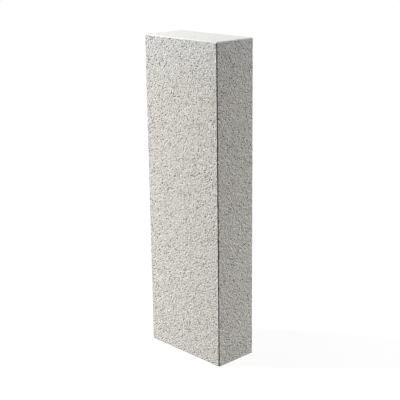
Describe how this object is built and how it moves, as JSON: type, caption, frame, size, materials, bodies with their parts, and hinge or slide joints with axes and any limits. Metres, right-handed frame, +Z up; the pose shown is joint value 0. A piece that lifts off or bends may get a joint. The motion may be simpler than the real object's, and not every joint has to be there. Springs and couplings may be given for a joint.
{
  "type": "concrete palisade",
  "caption": "Upright rectangular block of cast concrete with finely pitted faces, a smooth top and small broken edges, set side by side to edge beds, paths and small terraces.",
  "frame": {"origin": "middle of the foot, on the floor that the block stands on", "axes": "+Z up along the height; X along the wide faces, from one narrow face to the other; Y through the thickness, with -Y the wide face seen in the picture"},
  "size_m": [0.25, 0.12, 0.8],
  "materials": {
    "blasted_concrete": "matte"
  },
  "bodies": {
    "root": {"palisade": "blasted_concrete"}
  },
  "joints": []
}
